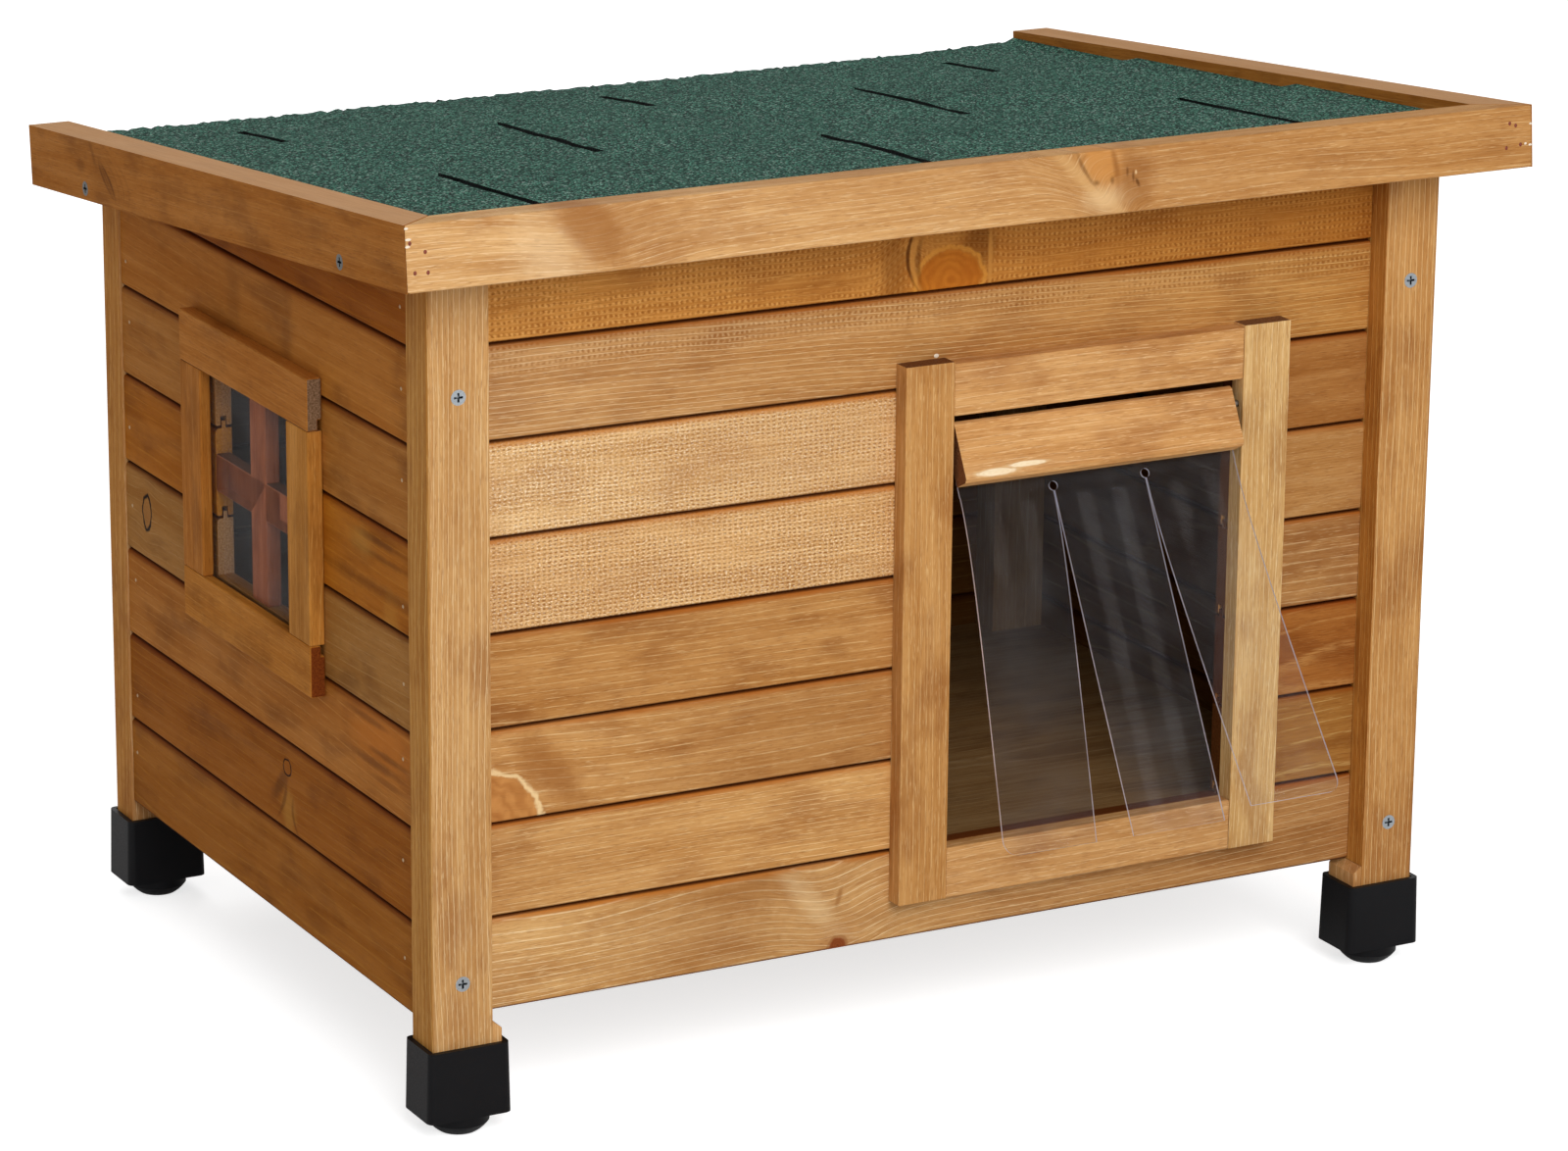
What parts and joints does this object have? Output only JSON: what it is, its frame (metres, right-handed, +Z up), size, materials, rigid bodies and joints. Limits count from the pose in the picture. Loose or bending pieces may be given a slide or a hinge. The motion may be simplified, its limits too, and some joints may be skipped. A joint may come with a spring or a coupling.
{
  "type": "outdoor cat house",
  "caption": "Boarded wooden outdoor cat house on capped legs, with a hinged shingled lean-to roof, a clear side window and a swinging strip flap in a framed doorway",
  "frame": {"origin": "bottom centre of the bounding box, on the ground, with the flap part open as stored", "axes": "+X to the right as seen from the door, +Y to the back, +Z up"},
  "size_m": [0.57, 0.4989, 0.425],
  "materials": {
    "stained_wood": "honey-stained spruce, satin",
    "inner_wood": "raw spruce, matte",
    "shingles": "dark green mineral granules",
    "black_plastic": "black, moulded",
    "zinc_steel": "zinc plated",
    "clear_sheet": "clear flexible sheet"
  },
  "bodies": {
    "cabin": {"post_front_left": "stained_wood", "post_front_right": "stained_wood", "post_back_left": "stained_wood", "post_back_right": "stained_wood", "corner_cleats": "inner_wood", "front_board_1": "stained_wood", "left_board_1": "stained_wood", "front_board_2": "stained_wood", "left_board_2": "stained_wood", "front_board_3": "stained_wood", "left_board_3": "stained_wood", "front_board_4": "stained_wood", "left_board_4": "stained_wood", "front_board_5": "stained_wood", "left_board_5": "stained_wood", "front_board_6": "stained_wood", "left_board_6": "stained_wood", "front_board_7": "stained_wood", "left_board_7": "stained_wood", "front_board_8": "stained_wood", "left_board_8": "stained_wood", "right_boards": "stained_wood", "back_boards": "stained_wood", "door_stile_left": "stained_wood", "door_stile_right": "stained_wood", "door_rail_top": "stained_wood", "door_rail_bottom": "stained_wood", "window_rail_top": "stained_wood", "window_rail_bottom": "stained_wood", "window_stile_front": "stained_wood", "window_stile_back": "stained_wood", "window_pane": "clear_sheet", "window_bars": "stained_wood", "floor_panel": "inner_wood", "floor_ledgers": "inner_wood", "leg_caps": "black_plastic", "cap_packers": "stained_wood", "leg_pads": "black_plastic", "post_screws": "zinc_steel", "hinge_wall_leaves": "zinc_steel", "hinge_pins": "zinc_steel", "hinge_wall_screws": "zinc_steel"},
    "roof": {"hinge_roof_leaves": "zinc_steel", "hinge_roof_screws": "zinc_steel", "roof_boards": "inner_wood", "shingle_course_1": "shingles", "shingle_course_2": "shingles", "shingle_course_3": "shingles", "roof_fascia": "stained_wood", "roof_trim_left": "stained_wood", "roof_trim_right": "stained_wood", "roof_battens": "inner_wood", "roof_screws": "zinc_steel"},
    "flap": {"flap_bar": "stained_wood", "flap_pins": "zinc_steel", "flap_sheet": "clear_sheet"},
    "strip_left": {"flap_tongue_left": "clear_sheet"},
    "strip_middle": {"flap_tongue_middle": "clear_sheet"},
    "strip_right": {"flap_tongue_right": "clear_sheet"}
  },
  "joints": [
    {"name": "roof_hinge", "type": "hinge", "parent": "cabin", "child": "roof", "pos_m": [0, 0.22557, 0.36578], "axis": [-1, 0, 0], "range_deg": [0, 90]},
    {"name": "flap_hinge", "type": "hinge", "parent": "cabin", "child": "flap", "pos_m": [0.078, -0.14433, 0.2879], "axis": [-1, 0, 0], "range_deg": [-107.3, 57.7]},
    {"name": "strip_left_bend", "type": "hinge", "parent": "flap", "child": "strip_left", "pos_m": [0.029, -0.15119, 0.26263], "axis": [-1, 0, 0], "range_deg": [-23.9, 46.1], "stiffness_Nm_per_rad": 0.05, "springref_deg": 11.1},
    {"name": "strip_middle_bend", "type": "hinge", "parent": "flap", "child": "strip_middle", "pos_m": [0.078, -0.15119, 0.26263], "axis": [-1, 0, 0], "range_deg": [-35.7, 34.3], "stiffness_Nm_per_rad": 0.05, "springref_deg": -0.7},
    {"name": "strip_right_bend", "type": "hinge", "parent": "flap", "child": "strip_right", "pos_m": [0.127, -0.15119, 0.26263], "axis": [-1, 0, 0], "range_deg": [-44.3, 25.7], "stiffness_Nm_per_rad": 0.05, "springref_deg": -9.3}
  ]
}
